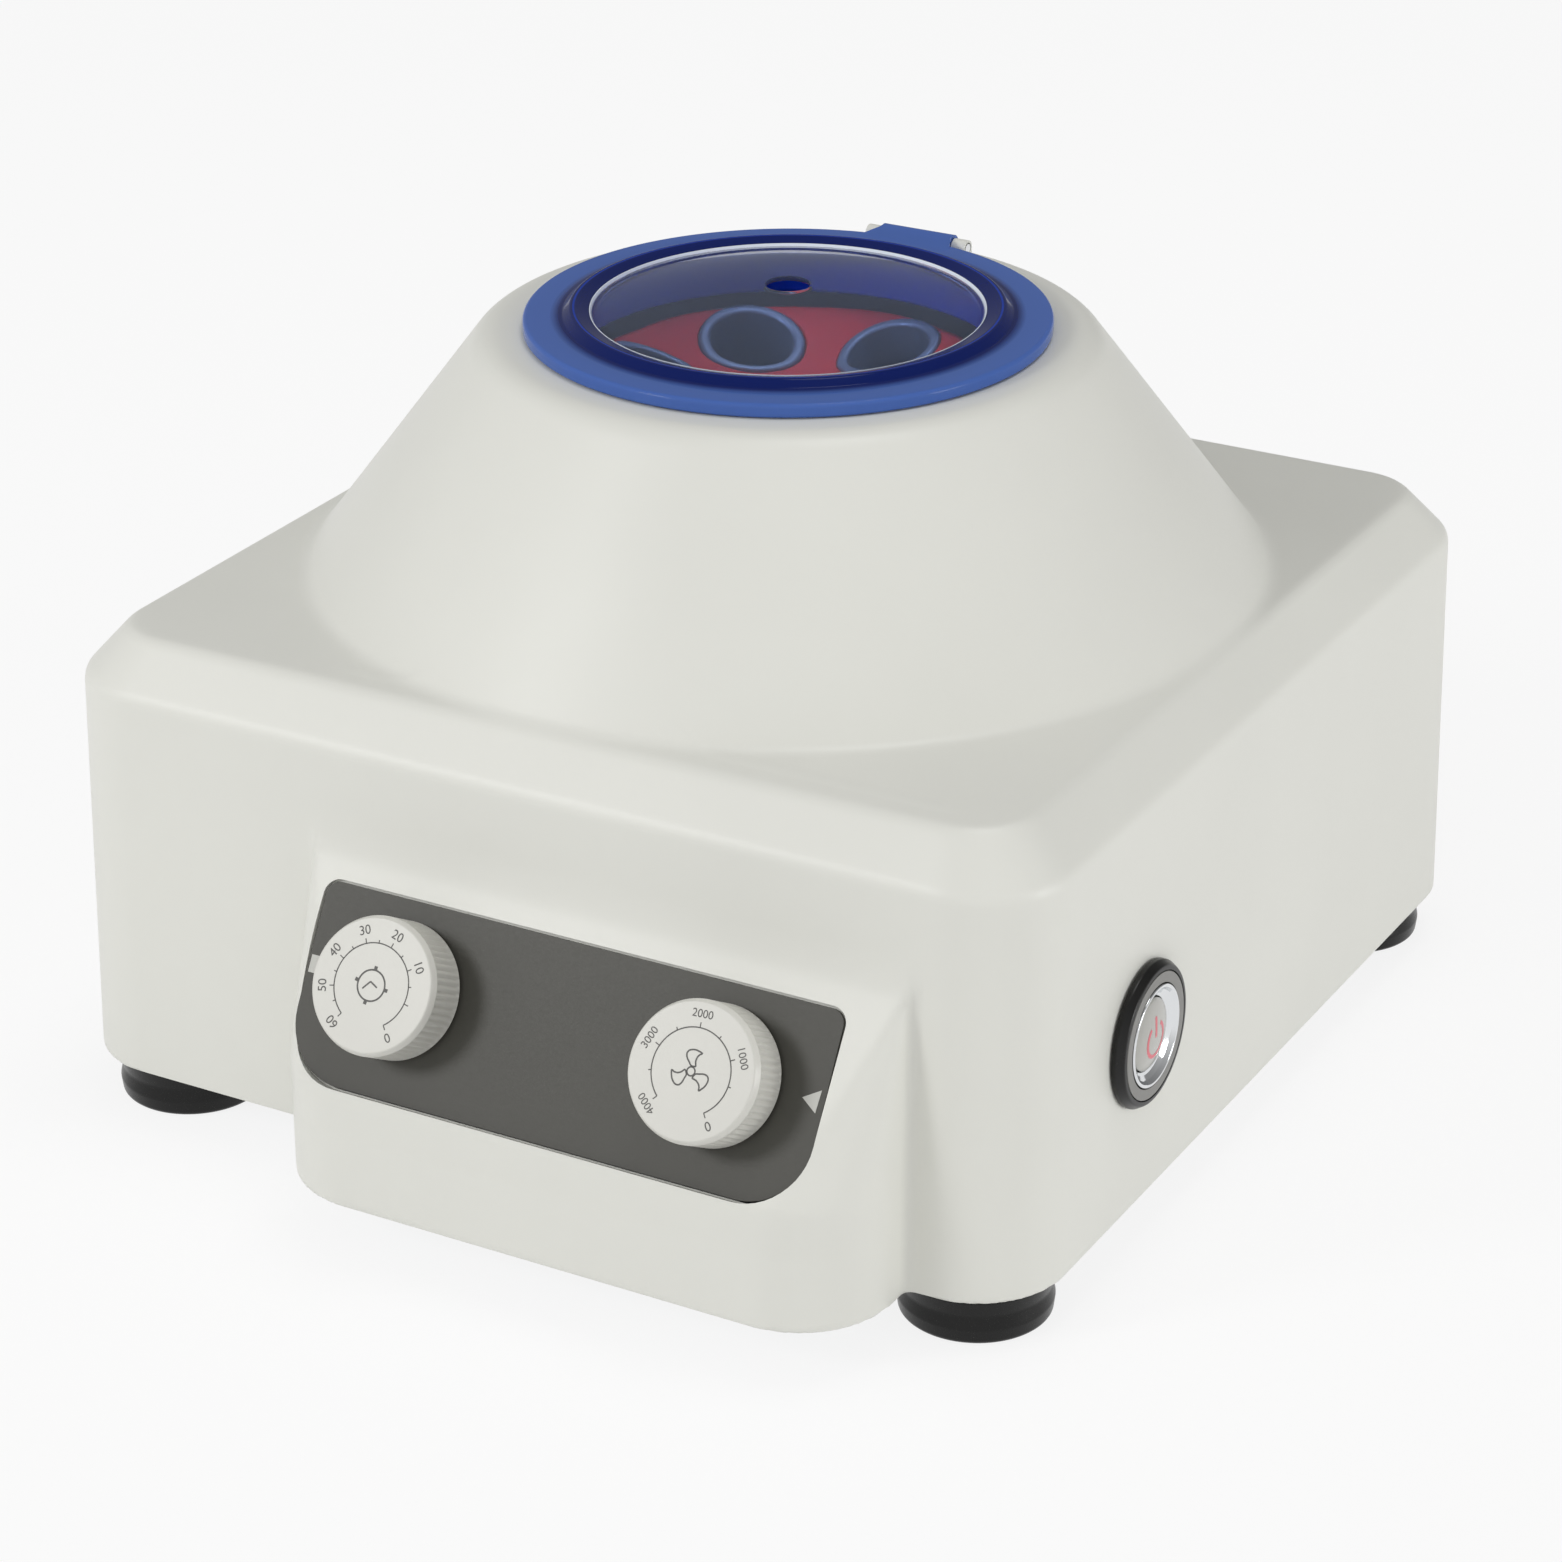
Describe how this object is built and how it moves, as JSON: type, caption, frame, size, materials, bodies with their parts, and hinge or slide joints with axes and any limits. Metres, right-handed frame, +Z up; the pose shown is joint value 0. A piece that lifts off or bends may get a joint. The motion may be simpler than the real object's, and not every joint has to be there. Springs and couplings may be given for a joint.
{
  "type": "tube centrifuge",
  "caption": "Bench centrifuge with a square body, a cone-shaped chamber, a hinged translucent lid, leaning tube sleeves, two dials and a round power button.",
  "frame": {"origin": "centre of the bounding box, on the plane that the four feet stand on", "axes": "+X to the right of a person at the dials, -Y towards that person, +Z up"},
  "size_m": [0.2822, 0.3178, 0.2066],
  "materials": {
    "white_shell": "satin",
    "blue_lid": "polished translucent plastic",
    "red_rotor": "satin",
    "satin_steel": "satin",
    "bright_steel": "polished",
    "zinc_steel": "zinc plated",
    "bowl_aluminium": "spun",
    "black_rubber": "matte",
    "black_plastic": "gloss",
    "grey_plate": "satin",
    "grey_trim": "satin",
    "white_knob": "satin",
    "clear_button": "frosted",
    "green_board": "matte"
  },
  "bodies": {
    "housing": {"housing": "white_shell", "chamber_cone": "white_shell", "hinge_pin": "bright_steel", "timer_nut": "bright_steel", "speed_nut": "bright_steel", "switch_ring": "bright_steel", "base_plate": "zinc_steel", "motor_plate": "zinc_steel", "motor_post_1": "zinc_steel", "motor_post_2": "zinc_steel", "motor_post_3": "zinc_steel", "post_screw_1": "zinc_steel", "post_screw_2": "zinc_steel", "post_screw_3": "zinc_steel", "motor_screw_1": "zinc_steel", "motor_screw_2": "zinc_steel", "motor_screw_3": "zinc_steel", "foot_screw_1": "zinc_steel", "foot_screw_2": "zinc_steel", "foot_screw_3": "zinc_steel", "foot_screw_4": "zinc_steel", "bowl_screw_1": "zinc_steel", "bowl_screw_2": "zinc_steel", "bowl_screw_3": "zinc_steel", "bowl_screw_4": "zinc_steel", "inlet_screw_1": "zinc_steel", "inlet_screw_2": "zinc_steel", "speed_pot": "zinc_steel", "chamber_bowl": "bowl_aluminium", "motor_body": "bowl_aluminium", "foot_front_left": "black_rubber", "foot_front_right": "black_rubber", "foot_rear_left": "black_rubber", "foot_rear_right": "black_rubber", "damper_1": "black_rubber", "damper_2": "black_rubber", "damper_3": "black_rubber", "timer_body": "black_plastic", "switch_bezel": "black_plastic", "switch_body": "black_plastic", "switch_nut": "black_plastic", "mains_inlet": "black_plastic", "faceplate": "grey_plate", "switch_trim": "grey_trim", "control_board": "green_board"},
    "lid": {"lid": "blue_lid"},
    "rotor": {"rotor": "red_rotor", "sleeve_1": "satin_steel", "sleeve_2": "satin_steel", "sleeve_3": "satin_steel", "sleeve_4": "satin_steel", "sleeve_5": "satin_steel", "sleeve_6": "satin_steel", "rotor_nut": "bright_steel", "motor_shaft": "satin_steel"},
    "timer_knob": {"timer_knob": "white_knob", "timer_shaft": "satin_steel"},
    "speed_knob": {"speed_knob": "white_knob", "speed_shaft": "satin_steel"},
    "power_button": {"switch_button": "clear_button"}
  },
  "joints": [
    {"name": "lid_hinge", "type": "hinge", "parent": "housing", "child": "lid", "pos_m": [-0.00162, 0.08624, 0.1969], "axis": [-1, 0, 0], "range_deg": [0, 100]},
    {"name": "rotor_spin", "type": "hinge", "parent": "housing", "child": "rotor", "pos_m": [-0.00162, 0.01424, 0.15], "axis": [0, 0, 1], "continuous": true},
    {"name": "timer_turn", "type": "hinge", "parent": "housing", "child": "timer_knob", "pos_m": [-0.02402, -0.14036, 0.06862], "axis": [0, -0.866, 0.5], "range_deg": [-56, 233]},
    {"name": "speed_turn", "type": "hinge", "parent": "housing", "child": "speed_knob", "pos_m": [0.06498, -0.14036, 0.06862], "axis": [0, -0.866, 0.5], "range_deg": [-227, 56]},
    {"name": "power_press", "type": "slide", "parent": "housing", "child": "power_button", "axis": [-1, 0, 0], "range_m": [0, 0.0025], "stiffness_N_per_m": 400}
  ]
}
